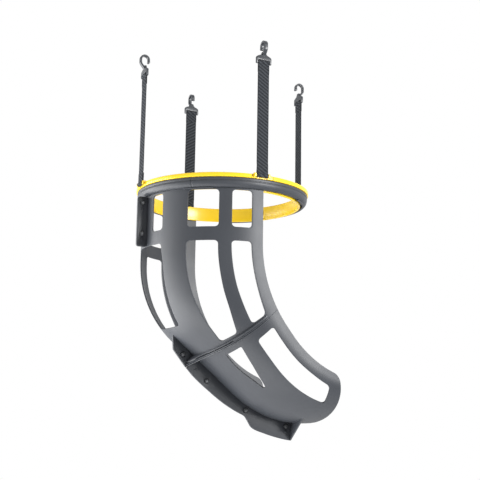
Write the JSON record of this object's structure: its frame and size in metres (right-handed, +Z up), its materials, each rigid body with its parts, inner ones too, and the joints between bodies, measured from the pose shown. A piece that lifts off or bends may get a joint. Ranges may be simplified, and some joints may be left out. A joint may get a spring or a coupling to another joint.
{
  "type": "basketball return chute",
  "caption": "Basketball return that hangs on hooked webbing straps under a hoop: a yellow ring carries a turning grey half-pipe chute of bolted panels",
  "frame": {"origin": "centre of the hoop's rod circle, level with the seats of the hooks", "axes": "+Z up, +X the way the chute sends the ball, +Y the far side of the chute"},
  "size_m": [0.5117, 0.5004, 1.0088],
  "materials": {
    "yellow_plastic": "smooth moulded gloss",
    "grey_plastic": "smooth moulded satin",
    "black_plastic": "moulded satin",
    "black_webbing": "woven twill webbing",
    "dark_steel": "blackened"
  },
  "bodies": {
    "support": {"support_ring": "yellow_plastic"},
    "chute": {"turning_ring_1": "grey_plastic", "turning_ring_2": "grey_plastic", "turning_ring_3": "grey_plastic", "turning_ring_4": "grey_plastic", "upper_panel_near": "grey_plastic", "lower_panel_near": "grey_plastic", "upper_panel_far": "grey_plastic", "lower_panel_far": "grey_plastic", "spine_bolt_1": "dark_steel", "spine_nut_1": "dark_steel", "spine_bolt_2": "dark_steel", "spine_nut_2": "dark_steel", "spine_bolt_3": "dark_steel", "spine_nut_3": "dark_steel", "spine_bolt_4": "dark_steel", "spine_nut_4": "dark_steel", "spine_bolt_5": "dark_steel", "spine_nut_5": "dark_steel", "spine_bolt_6": "dark_steel", "spine_nut_6": "dark_steel"},
    "strap_outlet_body": {"strap_outlet": "black_webbing"},
    "hook_outlet_body": {"hook_outlet": "black_plastic"},
    "strap_far_body": {"strap_far": "black_webbing"},
    "hook_far_body": {"hook_far": "black_plastic"},
    "strap_spine_body": {"strap_spine": "black_webbing"},
    "hook_spine_body": {"hook_spine": "black_plastic"},
    "strap_near_body": {"strap_near": "black_webbing"},
    "hook_near_body": {"hook_near": "black_plastic"}
  },
  "joints": [
    {"name": "chute_spin", "type": "hinge", "parent": "support", "child": "chute", "pos_m": [0, 0, -0.3555], "axis": [0, 0, 1], "continuous": true},
    {"name": "strap_outlet_swing", "type": "hinge", "parent": "support", "child": "strap_outlet_body", "pos_m": [0.235, 0, -0.341], "axis": [0, 1, 0], "range_deg": [-35, 95]},
    {"name": "hook_outlet_swing", "type": "hinge", "parent": "strap_outlet_body", "child": "hook_outlet_body", "pos_m": [0.235, 0, -0.0445], "axis": [0, -1, 0], "range_deg": [-75, 75]},
    {"name": "strap_far_swing", "type": "hinge", "parent": "support", "child": "strap_far_body", "pos_m": [0, 0.235, -0.341], "axis": [-1, 0, 0], "range_deg": [-35, 95]},
    {"name": "hook_far_swing", "type": "hinge", "parent": "strap_far_body", "child": "hook_far_body", "pos_m": [0, 0.235, -0.0445], "axis": [1, 0, 0], "range_deg": [-75, 75]},
    {"name": "strap_spine_swing", "type": "hinge", "parent": "support", "child": "strap_spine_body", "pos_m": [-0.235, 0, -0.341], "axis": [0, -1, 0], "range_deg": [-35, 95]},
    {"name": "hook_spine_swing", "type": "hinge", "parent": "strap_spine_body", "child": "hook_spine_body", "pos_m": [-0.235, 0, -0.0445], "axis": [0, 1, 0], "range_deg": [-75, 75]},
    {"name": "strap_near_swing", "type": "hinge", "parent": "support", "child": "strap_near_body", "pos_m": [0, -0.235, -0.341], "axis": [1, 0, 0], "range_deg": [-35, 95]},
    {"name": "hook_near_swing", "type": "hinge", "parent": "strap_near_body", "child": "hook_near_body", "pos_m": [0, -0.235, -0.0445], "axis": [-1, 0, 0], "range_deg": [-75, 75]}
  ]
}
